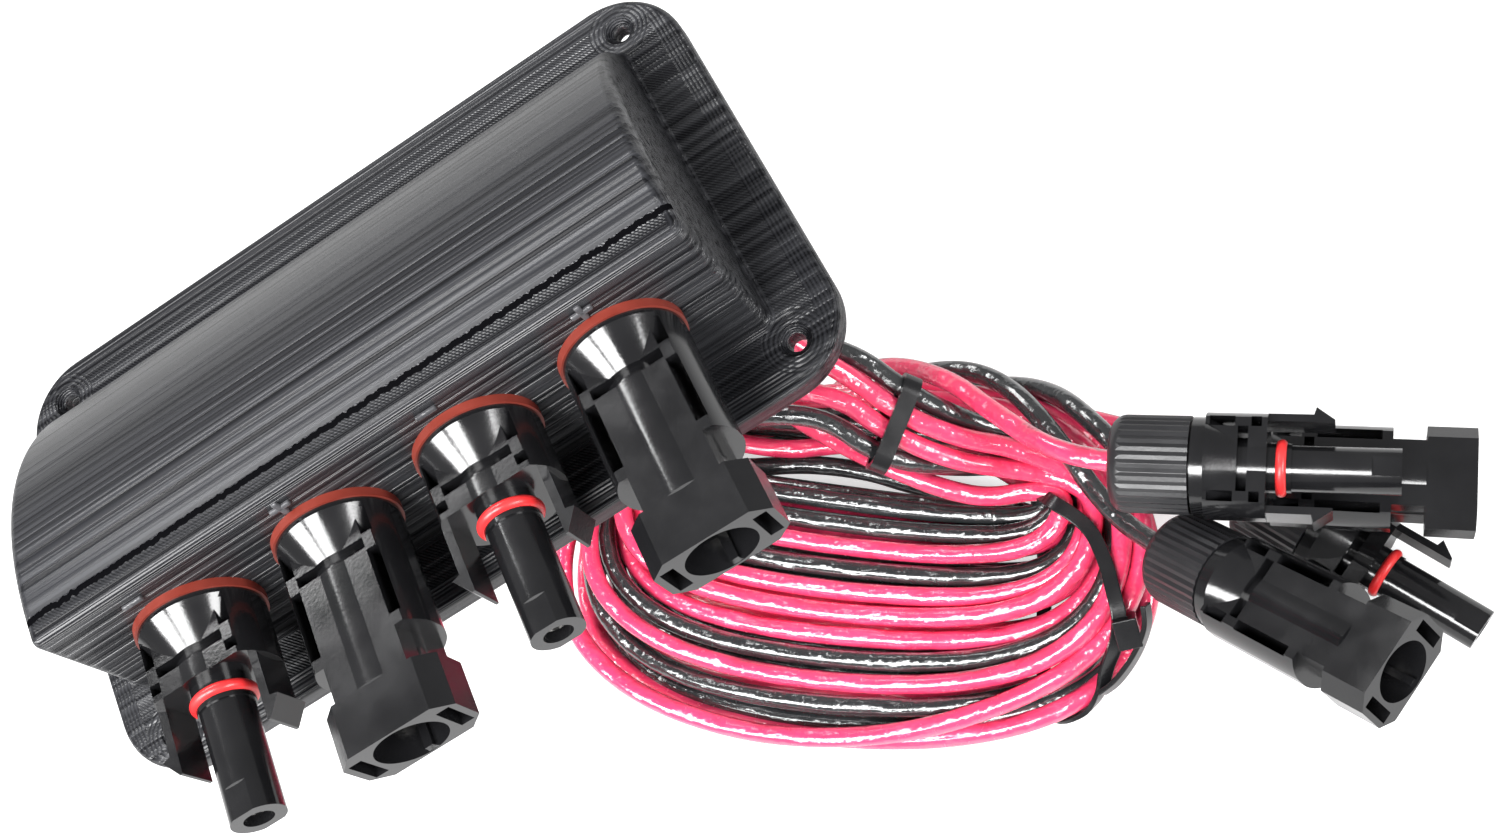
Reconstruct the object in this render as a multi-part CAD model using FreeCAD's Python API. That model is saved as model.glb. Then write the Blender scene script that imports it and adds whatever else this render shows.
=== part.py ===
import FreeCAD, Part
import math
import os

from FreeCAD import Placement, Rotation, Vector

# All sizes are in millimetres. The origin is the middle of the four screw holes on the flange's back
# face. X runs along the long side, Y up the mounted box, Z out of the flange. The cables leave at -Y.

# Flange
FLANGE_LENGTH = 141.0
FLANGE_WIDTH = 83.0
FLANGE_THICKNESS = 4.5
FLANGE_CORNER_R = 13.0
FLANGE_EDGE_R = 1.3
SCREW_SPACING_X = 122.0
SCREW_SPACING_Y = 69.0
SCREW_HOLE_R = 1.6
COUNTERSINK_R = 2.8
COUNTERSINK_DEPTH = 1.2

# Hood: a hollow bulge with a leaning face, a flat strip along the ridge and a curved back
HOOD_HALF_LENGTH = 59.5
HOOD_END_DRAFT = 0.8
HOOD_FACE_Y = -30.0
HOOD_FACE_LEAN = 5.0
HOOD_TOP_Z = 38.3
HOOD_TOP_END_Y = -22.0
HOOD_BACK_R = 57.5
HOOD_EDGE_R = 2.0
HOOD_FOOT_R = 1.0
WALL = 3.0

# Panel connectors in a row on the hood's face
CONNECTOR_PITCH = 26.5
CONNECTOR_UP_FACE = 17.5
PANEL_KINDS = ["nose", "cavity", "nose", "cavity"]
PANEL_NAMES = ["minus_1", "plus_1", "minus_2", "plus_2"]
SLEEVE_R = 7.4
SLEEVE_LENGTH = 14.0
SLEEVE_CLEARANCE = 0.2
NUT_ACROSS_FLATS = 20.0
NUT_THICKNESS = 5.0
GASKET_R = 10.3
GASKET_THICKNESS = 1.5

# Connector front end, measured from the face that it sits on
BODY_R = 9.9
BASE_RING_R = 9.9
BASE_RING_END = 2.3
CONE_END = 8.0
CONE_TIP_R = 6.6
BAND_R = 5.4
BAND_END = 9.8
TUBE_R = 6.5
PLATE_Y = 6.1
SIDE_X = 9.8
SIDE_WALL_INNER_X = 8.0
WINDOW_INNER_X = 6.1
WINDOW_START = 10.3
WINDOW_FLOOR_Y = -4.0
CONE_WINDOW_START = 3.0
CONE_WINDOW_END = 7.5

# Cavity end
CAVITY_LENGTH = 38.3
LONG_WINDOW_END = 21.8
NOTCH_START = 23.7
BLOCK_START = 29.6
NOTCH_INNER_X = 6.3
BLOCK_CHAMFER = 2.8
MOUTH_R = 5.65
MOUTH_DEPTH = 25.3
KEY_WIDTH = 1.4
KEY_HEIGHT = 0.8
LATCH_SLOT_X = 7.6
LATCH_SLOT_WIDTH = 2.2
LATCH_SLOT_LENGTH = 7.2
PIN_TIP_GAP = 6.0

# Nose end
NOSE_LENGTH = 35.8
COLLAR_START = 12.1
COLLAR_THICKNESS = 1.0
SHOULDER_R = 4.6
O_RING_SECTION_R = 0.95
O_RING_SEAT_R = 3.4
O_RING_CENTRE = 15.5
NECK_RING_END = 17.3
NECK_RING_R = 4.5
NOSE_R = 4.2
NOSE_HOLE_R = 2.3
NOSE_LIP = 2.0
NOSE_FLAT = 3.8
NOSE_FLAT_LENGTH = 5.0
ARM_OUTER_X = 9.3
ARM_THICKNESS = 1.4
ARM_WIDTH = 7.0
ARM_END = 24.5
BARB_LENGTH = 3.6
BARB_HEIGHT = 1.4

# Metal contacts
CONTACT_REAR_R = 3.0
CONTACT_STEP = 2.0
CONTACT_FRONT_R = 2.6
CONTACT_PIN_R = 2.0
CONTACT_BORE_DEPTH = 14.0
CONTACT_CLEARANCE = 0.05
PANEL_CONTACT_REAR = 13.0

# Cable connectors: the same front end on a threaded sleeve inside a cap nut
LINE_KINDS = ["cavity", "nose", "cavity", "nose"]
LINE_NAMES = ["minus_1", "plus_1", "minus_2", "plus_2"]
LINE_BASE_R = 9.0
LINE_SLEEVE_R = 7.5
LINE_SLEEVE_LENGTH = 10.0
LINE_CONTACT_REAR = 8.0
CAP_R = 9.2
CAP_LENGTH = 15.0
CAP_FACE_GAP = 0.4
CAP_THREAD_CLEARANCE = 0.06
CAP_BORE_DEPTH = 12.6
CAP_DOME_R = 3.0
CAP_RIBS = 36
CAP_RIB_DEPTH = 0.25
CAP_HOLE_R = 2.45
SEAL_R = 7.0
SEAL_LENGTH = 2.5

# Wire and coil. The coil's turns are nested ovals: slot 0 is the innermost, and there are two levels.
WIRE_R = 2.1
WIRE_FIT = 0.02
COIL_CENTRE = (37.0, -35.6)
COIL_ANGLE = -32.5
COIL_HALF_LENGTH = 66.0
COIL_FRONT = 41.5
COIL_BACK = 42.5
COIL_SLOTS = 12
FRONT_PITCH = 4.4
BACK_PITCH = 1.4
END_PITCH = 2.0
INNER_TURN = -7.0
TURN_PIVOT = 46.0
COIL_BASE_Z = -117.2
COIL_TOP_Z = -92.5
COIL_FRONT_TOP_Z = -100.8
COIL_SLOPE_END = 5.0

# Cable ties
TIE_WIDTH = 3.6
TIE_THICKNESS = 1.2
TIE_FIT = 0.1
TIE_HEAD = (6.0, 5.6, 4.2)
TIE_TAIL = 6.0
TIE_TAIL_WIDTH = 3.2
COIL_TIE_INNER = Vector(75.4, -45.0, -92.5)
COIL_TIE_OUTER = Vector(79.5, -80.0, -95.0)
COIL_TIE_FOOT = Vector(66.0, -86.0, -116.0)
LEADS_TIE_CENTRE = Vector(61.8, -21.6, -77.9)
LEADS_TIE_ACROSS = Vector(0.80, 0.58, 0.14)
LEADS_TIE_UP = Vector(0.19, -0.47, 0.85)
LEADS_TIE_SPAN = 14.4

# Places worked out from the sizes above
LEAN = math.radians(HOOD_FACE_LEAN)
AXIS = Vector(0.0, -math.cos(LEAN), math.sin(LEAN))
FACE_UP = Vector(0.0, math.sin(LEAN), math.cos(LEAN))
BACK_CENTRE_Z = HOOD_TOP_Z - HOOD_BACK_R
PANEL_X = [(i - 1.5) * CONNECTOR_PITCH for i in range(4)]
PANEL_HOLE_R = SLEEVE_R + SLEEVE_CLEARANCE
FACE_CENTRE = Vector(0.0, HOOD_FACE_Y, FLANGE_THICKNESS) + FACE_UP * CONNECTOR_UP_FACE

# Cable connectors: the front of the cap nut, the way each points, and which way its flat side faces
LINE_PLACES = {
    "minus_1": (Vector(100.4, -84.2, -76.4), Vector(0.385, -0.800, 0.460)),
    "plus_1": (Vector(121.6, -77.1, -107.4), Vector(0.425, -0.905, 0.0)),
    "minus_2": (Vector(117.3, -66.4, -88.2), Vector(0.814, -0.581, 0.0)),
    "plus_2": (Vector(106.3, -63.6, -69.2), Vector(0.822, -0.570, 0.0)),
}

# Wire routes by hand. Each near lead starts at its panel contact and ends in the coil.
LEAD_DROP = [(1.0, 19.4), (13.0, 7.0), (15.0, -14.0)]
NEAR_ROUTES = {
    "minus_1": [(-34, 12, -38), (-12, 6, -58), (12, 1, -66), (34, -4.5, -69.5), (50.5, -13.5, -72),
                (55.8, -25.6, -79.5), (66, -31, -90.5), (76.5, -34.5, -98.5), (83, -38.5, -102.5)],
    "plus_1": [(-8, 14, -38), (13, 9, -58), (36, 1, -66), (55, -11.5, -70.5), (60, -23, -78),
               (67.8, -32.2, -85.5), (77.3, -38.2, -92), (85.2, -44.6, -94.5)],
    "minus_2": [(20, 15, -36), (34, 10, -54), (50, 3.5, -64), (62.3, -5.9, -70.3), (67.3, -17.3, -77.5),
                (74.5, -27, -84), (82.5, -33.8, -91.5), (87, -41.5, -98)],
    "plus_2": [(42, 12, -36), (49, 4, -55), (59.1, -9.5, -70), (63.8, -20.5, -77), (71.5, -30, -82.5),
               (80.5, -36.5, -87.5), (88, -46, -95)],
}
# Each far lead starts in the coil and ends at its cable connector's contact.
FAR_ROUTES = {
    "minus_1": [(58, -3.5, -106), (65.5, -3.5, -102.5), (74, -7.5, -98), (82, -15.5, -93),
                (86.5, -26, -89.4), (88.2, -40, -87.4), (88.8, -54, -88)],
    "plus_1": [(70, -12, -114.9), (80, -16, -114.9), (92, -25, -114.9), (102.5, -36, -114.5),
               (109.5, -48, -110.5)],
    "minus_2": [(68, -9.5, -107), (76, -11.5, -106), (86, -18.5, -101), (92.5, -27, -95),
                (95.5, -37, -89.8)],
    "plus_2": [(47, 4.5, -110.5), (55, 3.5, -104), (62.5, 0, -96), (70, -8, -88.5), (76.5, -19, -82),
               (80, -31, -76.5)],
}

NAMES = []


def keep(shape, name):
    """Write one piece to its own file."""
    NAMES.append(name)
    if len(shape.Solids) != 1:
        print(name, "has", len(shape.Solids), "solids")
    shape.exportStep("parts/" + name + ".step")


def box(x0, x1, y0, y1, z0, z1):
    return Part.makeBox(x1 - x0, y1 - y0, z1 - z0, Vector(x0, y0, z0))


def both_sides(shape):
    """The shape and its mirror image across the YZ plane."""
    return shape.fuse(shape.mirror(Vector(0, 0, 0), Vector(1, 0, 0)))


def rod(radius, z0, z1):
    return Part.makeCylinder(radius, z1 - z0, Vector(0, 0, z0))


def turned(points):
    """A solid of revolution about Z from (radius, z) points."""
    corners = [Vector(r, 0, z) for r, z in points]
    face = Part.Face(Part.makePolygon(corners + [corners[0]]))
    return face.revolve(Vector(0, 0, 0), Vector(0, 0, 1), 360)


def placed(shape, origin, x_axis, y_axis, z_axis):
    moved = shape.copy()
    moved.Placement = Placement(origin, Rotation(x_axis, y_axis, z_axis, "ZXY"))
    return moved


def on_face(shape, x):
    """Move a piece built along Z onto the hood's face at x."""
    return placed(shape, FACE_CENTRE + Vector(x, 0, 0), Vector(1, 0, 0), FACE_UP, AXIS)


def at_line(shape, name):
    """Move a piece built along Z onto a cable connector's place, flat side up."""
    origin, axis = LINE_PLACES[name]
    axis = Vector(axis).normalize()
    across = axis.cross(Vector(0, 0, 1)).normalize() * -1
    return placed(shape, origin, across, axis.cross(across), axis)


# Housing
def hood_section(inset, base_z):
    """Closed outline of the hood in the YZ plane, moved inwards by inset."""
    def face_y(z):
        return HOOD_FACE_Y + (z - FLANGE_THICKNESS) * math.tan(LEAN) + inset / math.cos(LEAN)

    top = HOOD_TOP_Z - inset
    radius = HOOD_BACK_R - inset
    end_angle = math.asin((base_z - BACK_CENTRE_Z) / radius)
    mid_angle = (end_angle + math.pi / 2) / 2

    def on_arc(angle):
        return Vector(0, HOOD_TOP_END_Y + radius * math.cos(angle), BACK_CENTRE_Z + radius * math.sin(angle))

    low_front = Vector(0, face_y(base_z), base_z)
    ridge = Vector(0, face_y(top), top)
    back_arc = Part.Arc(on_arc(math.pi / 2), on_arc(mid_angle), on_arc(end_angle)).toShape()
    lines = [Part.makeLine(low_front, ridge), Part.makeLine(ridge, on_arc(math.pi / 2)), back_arc,
             Part.makeLine(on_arc(end_angle), low_front)]
    return Part.Face(Part.Wire(lines))


def drafted_block(inset):
    """The hood's length, a little shorter at the top than at its foot."""
    slope = HOOD_END_DRAFT / (HOOD_TOP_Z - FLANGE_THICKNESS)
    low_z = -5.0
    high_z = HOOD_TOP_Z + 5.0
    low_x = HOOD_HALF_LENGTH - inset + (FLANGE_THICKNESS - low_z) * slope
    high_x = HOOD_HALF_LENGTH - inset + (FLANGE_THICKNESS - high_z) * slope
    corners = [Vector(-low_x, -60, low_z), Vector(low_x, -60, low_z), Vector(high_x, -60, high_z),
               Vector(-high_x, -60, high_z), Vector(-low_x, -60, low_z)]
    return Part.Face(Part.makePolygon(corners)).extrude(Vector(0, 120, 0))


def hood_solid(inset, base_z):
    section = hood_section(inset, base_z)
    section.translate(Vector(-FLANGE_LENGTH / 2, 0, 0))
    return section.extrude(Vector(FLANGE_LENGTH, 0, 0)).common(drafted_block(inset))


def flange_solid():
    plate = box(-FLANGE_LENGTH / 2, FLANGE_LENGTH / 2, -FLANGE_WIDTH / 2, FLANGE_WIDTH / 2,
                0, FLANGE_THICKNESS)
    corners = [e for e in plate.Edges if abs(e.Vertexes[0].Z - e.Vertexes[1].Z) > 1]
    plate = plate.makeFillet(FLANGE_CORNER_R, corners)
    rim = [e for e in plate.Edges if e.BoundBox.ZMin > FLANGE_THICKNESS - 0.01]
    return plate.makeFillet(FLANGE_EDGE_R, rim)


def housing():
    hood = hood_solid(0, 0)
    rounded = [e for e in hood.Edges if e.BoundBox.ZMax > FLANGE_THICKNESS + 1
               and (e.BoundBox.XLength < 2 or e.BoundBox.YLength < 0.01)]
    hood = hood.makeFillet(HOOD_EDGE_R, rounded)
    body = flange_solid().fuse(hood)
    foot = [e for e in body.Edges if abs(e.BoundBox.ZMin - FLANGE_THICKNESS) < 0.01
            and e.BoundBox.ZLength < 0.01 and abs(e.BoundBox.XMax) < HOOD_HALF_LENGTH + 0.5
            and e.BoundBox.YMin > HOOD_FACE_Y - 0.5]
    body = body.makeFillet(HOOD_FOOT_R, foot)
    body = body.cut(hood_solid(WALL, -1.0))
    for x in PANEL_X:
        body = body.cut(on_face(rod(PANEL_HOLE_R, -WALL - 2, 2), x))
    for x in (-SCREW_SPACING_X / 2, SCREW_SPACING_X / 2):
        for y in (-SCREW_SPACING_Y / 2, SCREW_SPACING_Y / 2):
            top = FLANGE_THICKNESS
            hole = turned([(0, -1), (SCREW_HOLE_R, -1), (SCREW_HOLE_R, top - COUNTERSINK_DEPTH),
                           (COUNTERSINK_R, top), (COUNTERSINK_R, top + 1), (0, top + 1)])
            hole.translate(Vector(x, y, 0))
            body = body.cut(hole)
    return body


# Connector bodies
def core_points(rear_r, rear_z, base_r, base_z, front):
    """Turned outline from the rear sleeve over the cone and the band, ended by the front points."""
    return [(0, rear_z), (rear_r, rear_z), (rear_r, base_z), (base_r, base_z), (base_r, BASE_RING_END),
            (CONE_TIP_R, CONE_END), (BAND_R, CONE_END), (BAND_R, BAND_END), (TUBE_R, BAND_END)] + front


def d_shell(z0, z1):
    """Rounded at the back, flat in front and at the sides."""
    return rod(BODY_R, z0, z1).common(box(-SIDE_X, SIDE_X, -BODY_R - 1, PLATE_Y, z0, z1))


def side_windows(z0, z1):
    return both_sides(box(WINDOW_INNER_X, SIDE_WALL_INNER_X, WINDOW_FLOOR_Y, PLATE_Y + 1, z0, z1))


def hull(end, window_end):
    """The shell round the cone with its small and long windows."""
    shell = d_shell(BASE_RING_END, end)
    band_cut = box(-WINDOW_INNER_X, WINDOW_INNER_X, 0, PLATE_Y + 1, CONE_END, BAND_END)
    cone_window = both_sides(box(WINDOW_INNER_X, SIDE_WALL_INNER_X, 1, PLATE_Y + 1,
                                 CONE_WINDOW_START, CONE_WINDOW_END))
    return shell.cut(band_cut).cut(cone_window).cut(side_windows(WINDOW_START, window_end))


def contact_bore(rear_z, front_z):
    return rod(CONTACT_REAR_R + CONTACT_CLEARANCE, rear_z, CONTACT_STEP).fuse(
        rod(CONTACT_FRONT_R + CONTACT_CLEARANCE, CONTACT_STEP, front_z))


def cavity_body(rear_r, rear_z, base_r, base_z):
    outline = core_points(rear_r, rear_z, base_r, base_z, [(TUBE_R, BLOCK_START), (0, BLOCK_START)])
    block = box(-SIDE_X, SIDE_X, -PLATE_Y, PLATE_Y, BLOCK_START, CAVITY_LENGTH)
    block_edges = [e for e in block.Edges if abs(e.Vertexes[0].Z - e.Vertexes[1].Z) > 1]
    block = block.makeChamfer(BLOCK_CHAMFER, block_edges)
    notches = both_sides(box(NOTCH_INNER_X, BODY_R + 1, -BODY_R - 1, BODY_R, NOTCH_START, BLOCK_START))
    shell = hull(BLOCK_START, LONG_WINDOW_END).cut(notches)
    body = turned(outline).fuse(shell).fuse(block)
    floor_z = CAVITY_LENGTH - MOUTH_DEPTH
    body = body.cut(rod(MOUTH_R, floor_z, CAVITY_LENGTH + 1))
    body = body.cut(contact_bore(rear_z - 1, floor_z + 1))
    half = LATCH_SLOT_WIDTH / 2
    slot = box(LATCH_SLOT_X - half, LATCH_SLOT_X + half, -LATCH_SLOT_LENGTH / 2, LATCH_SLOT_LENGTH / 2,
               BLOCK_START - 1, CAVITY_LENGTH + 1)
    body = body.cut(both_sides(slot))
    key = box(-KEY_WIDTH / 2, KEY_WIDTH / 2, -MOUTH_R - 0.3, KEY_HEIGHT - MOUTH_R,
              floor_z + MOUTH_DEPTH / 2, CAVITY_LENGTH - 0.5)
    return body.fuse(key)


def latch_arm():
    """One springy arm with a barb at its end, on the +X side."""
    inner_x = ARM_OUTER_X - ARM_THICKNESS
    start = COLLAR_START + COLLAR_THICKNESS
    corners = [(inner_x, start), (ARM_OUTER_X, start), (ARM_OUTER_X, ARM_END - BARB_LENGTH),
               (ARM_OUTER_X + BARB_HEIGHT, ARM_END - BARB_LENGTH + 0.4), (inner_x + 0.5, ARM_END),
               (inner_x, ARM_END)]
    points = [Vector(x, -ARM_WIDTH / 2, z) for x, z in corners]
    return Part.Face(Part.makePolygon(points + [points[0]])).extrude(Vector(0, ARM_WIDTH, 0))


def nose_body(rear_r, rear_z, base_r, base_z):
    collar_end = COLLAR_START + COLLAR_THICKNESS
    seat_start = O_RING_CENTRE - O_RING_SECTION_R
    seat_end = O_RING_CENTRE + O_RING_SECTION_R
    outline = core_points(rear_r, rear_z, base_r, base_z, [
        (TUBE_R, collar_end), (SHOULDER_R, collar_end), (SHOULDER_R, seat_start),
        (O_RING_SEAT_R, seat_start), (O_RING_SEAT_R, seat_end), (NECK_RING_R, seat_end),
        (NECK_RING_R, NECK_RING_END), (NOSE_R, NECK_RING_END), (NOSE_R, NOSE_LENGTH), (0, NOSE_LENGTH)])
    collar = d_shell(COLLAR_START, collar_end)
    shell = hull(COLLAR_START, COLLAR_START)
    flats = box(-NOSE_R, NOSE_R, NOSE_FLAT, NOSE_R + 1, NOSE_LENGTH - NOSE_FLAT_LENGTH, NOSE_LENGTH + 1)
    flats = flats.fuse(flats.mirror(Vector(0, 0, 0), Vector(0, 1, 0)))
    body = turned(outline).cut(flats).fuse(shell).fuse(collar).fuse(both_sides(latch_arm()))
    body = body.cut(contact_bore(rear_z - 1, NOSE_LENGTH - NOSE_LIP))
    return body.cut(rod(NOSE_HOLE_R, NOSE_LENGTH - NOSE_LIP - 1, NOSE_LENGTH + 1))


def connector_body(kind, rear_r, rear_z, base_r, base_z):
    if kind == "nose":
        return nose_body(rear_r, rear_z, base_r, base_z)
    return cavity_body(rear_r, rear_z, base_r, base_z)


def contact(kind, rear_z):
    """A socket for a nose, a pin for a cavity."""
    if kind == "nose":
        end = NOSE_LENGTH - NOSE_LIP
        return turned([(0, rear_z), (CONTACT_REAR_R, rear_z), (CONTACT_REAR_R, CONTACT_STEP),
                       (CONTACT_FRONT_R, CONTACT_STEP), (CONTACT_FRONT_R, end), (CONTACT_PIN_R, end),
                       (CONTACT_PIN_R, end - CONTACT_BORE_DEPTH), (0, end - CONTACT_BORE_DEPTH)])
    floor_z = CAVITY_LENGTH - MOUTH_DEPTH
    end = CAVITY_LENGTH - PIN_TIP_GAP
    return turned([(0, rear_z), (CONTACT_REAR_R, rear_z), (CONTACT_REAR_R, CONTACT_STEP),
                   (CONTACT_FRONT_R, CONTACT_STEP), (CONTACT_FRONT_R, floor_z), (CONTACT_PIN_R, floor_z),
                   (CONTACT_PIN_R, end - 1), (CONTACT_PIN_R - 1, end), (0, end)])


def o_ring():
    ring_r = O_RING_SEAT_R + O_RING_SECTION_R
    return Part.makeTorus(ring_r, O_RING_SECTION_R, Vector(0, 0, O_RING_CENTRE))


def gasket():
    return rod(GASKET_R, 0, GASKET_THICKNESS).cut(rod(PANEL_HOLE_R, -1, GASKET_THICKNESS + 1))


def panel_nut():
    corner_r = NUT_ACROSS_FLATS / 2 / math.cos(math.pi / 6)
    corners = [Vector(corner_r * math.cos(math.radians(60 * i)), corner_r * math.sin(math.radians(60 * i)),
                      -WALL - NUT_THICKNESS) for i in range(7)]
    prism = Part.Face(Part.makePolygon(corners)).extrude(Vector(0, 0, NUT_THICKNESS))
    rounded = prism.common(Part.makeCone(corner_r, NUT_ACROSS_FLATS / 2 + 0.3, 0.9,
                                         Vector(0, 0, -WALL - NUT_THICKNESS + 0.9), Vector(0, 0, -1))
                           .fuse(rod(corner_r, -WALL - NUT_THICKNESS + 0.9, -WALL)))
    return rounded.cut(rod(SLEEVE_R, -WALL - NUT_THICKNESS - 1, -WALL + 1))


def cap_nut():
    """Domed nut with fine ribs along its skirt."""
    skirt_start = -CAP_FACE_GAP
    blank = rod(CAP_R, -CAP_LENGTH, skirt_start)
    end_edge = [e for e in blank.Edges if e.BoundBox.ZMax < -CAP_LENGTH + 0.01]
    blank = blank.makeFillet(CAP_DOME_R, end_edge)
    rim = []
    for i in range(2 * CAP_RIBS):
        angle = math.pi * i / CAP_RIBS
        radius = CAP_R + 0.02 if i % 2 else CAP_R - CAP_RIB_DEPTH
        rim.append(Vector(radius * math.cos(angle), radius * math.sin(angle), -CAP_LENGTH - 1))
    ribs = Part.Face(Part.makePolygon(rim + [rim[0]])).extrude(Vector(0, 0, CAP_LENGTH + 1 + skirt_start))
    cap = blank.common(ribs)
    cap = cap.cut(rod(LINE_SLEEVE_R + CAP_THREAD_CLEARANCE, -CAP_BORE_DEPTH, 1))
    return cap.cut(rod(CAP_HOLE_R, -CAP_LENGTH - 1, 0))


def cable_seal():
    start = -LINE_SLEEVE_LENGTH - SEAL_LENGTH
    return rod(SEAL_R, start, -LINE_SLEEVE_LENGTH).cut(rod(WIRE_R + WIRE_FIT, start - 1, 0))


# Wires
def route(points, name):
    """Straight runs joined by arcs that touch them. Prints each bend's radius."""
    edges = []
    radii = []
    last = points[0]
    for before, corner, after in zip(points, points[1:], points[2:]):
        run_in = corner - before
        run_out = after - corner
        way_in = Vector(run_in).normalize()
        way_out = Vector(run_out).normalize()
        half_turn = way_in.getAngle(way_out) / 2
        shorter = min(run_in.Length, run_out.Length)
        radius = 0.45 * shorter / math.tan(half_turn)
        radii.append(radius)
        start = corner - way_in * (0.45 * shorter)
        end = corner + way_out * (0.45 * shorter)
        inwards = (way_out - way_in).normalize()
        middle = corner + inwards * (radius / math.cos(half_turn) - radius)
        edges.append(Part.makeLine(last, start))
        edges.append(Part.Arc(start, middle, end).toShape())
        last = end
    edges.append(Part.makeLine(last, points[-1]))
    print(name, "bend radii", [round(r, 1) for r in radii])
    return Part.Wire(edges)


def wire_tube(points, name):
    line = route(points, name)
    start = Vector(points[1] - points[0]).normalize()
    section = Part.Wire(Part.makeCircle(WIRE_R, points[0], start))
    tube = line.makePipeShell([section], True, False)
    print(name, "length", round(line.Length, 1), "volume ratio",
          round(tube.Volume / (math.pi * WIRE_R ** 2 * line.Length), 3))
    return tube


def slot_place(slot, degrees):
    """A turn's centre line in plan: 0 is the right end, 90 the front, 270 the back."""
    nest = COIL_SLOTS - 1 - slot
    inner = nest / (COIL_SLOTS - 1)
    half = COIL_HALF_LENGTH - WIRE_R - nest * END_PITCH
    front = -(COIL_FRONT - WIRE_R) + nest * FRONT_PITCH
    back = COIL_BACK - WIRE_R - nest * BACK_PITCH
    straight = 12 + 20 * inner
    cosine = math.cos(math.radians(degrees))
    sine = math.sin(math.radians(degrees))
    middle = (back + front) / 2
    u = (half - straight) * cosine + straight * math.tanh(2.5 * cosine) / math.tanh(2.5)
    v = -(back - front) / 2 * math.copysign(abs(sine) ** 0.85, sine)
    turn = math.radians(INNER_TURN * inner)
    u, v = (TURN_PIVOT + (u - TURN_PIVOT) * math.cos(turn) - v * math.sin(turn),
            middle + (u - TURN_PIVOT) * math.sin(turn) + v * math.cos(turn))
    plan = math.radians(COIL_ANGLE)
    return Vector(COIL_CENTRE[0] + u * math.cos(plan) - v * math.sin(plan),
                  COIL_CENTRE[1] + u * math.sin(plan) + v * math.cos(plan), COIL_BASE_Z)


def coil_outline(slot, outwards):
    """Closed curve along a slot, moved outwards from it."""
    points = []
    for step in range(24):
        here = slot_place(slot, 15 * step)
        along = slot_place(slot, 15 * step + 2) - slot_place(slot, 15 * step - 2)
        side = Vector(along).normalize().cross(Vector(0, 0, 1)) * -1
        points.append(here + side * outwards)
    curve = Part.BSplineCurve()
    curve.interpolate(points, PeriodicFlag=True)
    return Part.Face(Part.Wire(curve.toShape()))


def coil(grow=0.0):
    """The coil's outer shape: a flat fan in front, a tall stack at the ends and at the back."""
    height = COIL_TOP_Z - COIL_BASE_Z + 2 * grow
    ring = coil_outline(COIL_SLOTS - 1, WIRE_R + grow).extrude(Vector(0, 0, height))
    ring = ring.cut(coil_outline(0, -WIRE_R - grow).extrude(Vector(0, 0, height)))
    ring.translate(Vector(0, 0, -grow))
    low = COIL_FRONT_TOP_Z - COIL_BASE_Z + grow
    high = COIL_TOP_Z - COIL_BASE_Z + grow
    corners = [Vector(-100, -60, low), Vector(-100, -COIL_FRONT, low), Vector(-100, COIL_SLOPE_END, high),
               Vector(-100, COIL_SLOPE_END, high + 1), Vector(-100, -60, high + 1)]
    wedge = Part.Face(Part.makePolygon(corners + [corners[0]])).extrude(Vector(200, 0, 0))
    wedge.Placement = Placement(Vector(COIL_CENTRE[0], COIL_CENTRE[1], COIL_BASE_Z),
                                Rotation(Vector(0, 0, 1), COIL_ANGLE))
    return ring.cut(wedge)


def panel_wire_start(x):
    return FACE_CENTRE + Vector(x, 0, 0) - AXIS * PANEL_CONTACT_REAR


def near_lead(name, x):
    points = [panel_wire_start(x)]
    points += [Vector(x, y, z) for y, z in LEAD_DROP]
    points += [Vector(*p) for p in NEAR_ROUTES[name]]
    return wire_tube(points, "near_lead_" + name)


def far_lead(name):
    origin, axis = LINE_PLACES[name]
    axis = Vector(axis).normalize()
    points = [Vector(*p) for p in FAR_ROUTES[name]]
    points += [origin - axis * (CAP_LENGTH + 8), origin - axis * LINE_CONTACT_REAR]
    return wire_tube(points, "far_lead_" + name)


# Cable ties
def tie_end(x, z):
    """A tie's head and its short tail, beside a strap whose outer face is at x, with the head's top at z."""
    head = box(x - 0.2, x + TIE_HEAD[2], -TIE_HEAD[0] / 2, TIE_HEAD[0] / 2, z - TIE_HEAD[1], z)
    slot_z = z - TIE_HEAD[1] / 2
    tail = box(x + TIE_HEAD[2] - 0.2, x + TIE_HEAD[2] + TIE_TAIL, -TIE_TAIL_WIDTH / 2, TIE_TAIL_WIDTH / 2,
               slot_z - TIE_THICKNESS / 2, slot_z + TIE_THICKNESS / 2)
    return head.fuse(tail)


def tie_loop(length, height):
    """Strap round a flat bundle, with its head on the underside."""
    half_x = length / 2 + TIE_FIT
    half_z = height / 2 + TIE_FIT
    corner_r = half_z * 0.9

    def rounded(grow):
        block = box(-half_x - grow, half_x + grow, -TIE_WIDTH / 2, TIE_WIDTH / 2, -half_z - grow, half_z + grow)
        edges = [e for e in block.Edges if e.BoundBox.YLength > TIE_WIDTH - 0.1]
        return block.makeFillet(corner_r + grow, edges)

    end = placed(tie_end(0, TIE_HEAD[1] / 2), Vector(0, 0, -half_z - TIE_THICKNESS),
                 Vector(0, 0, -1), Vector(0, 1, 0), Vector(1, 0, 0))
    return rounded(TIE_THICKNESS).fuse(end).cut(rounded(0))


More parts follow.
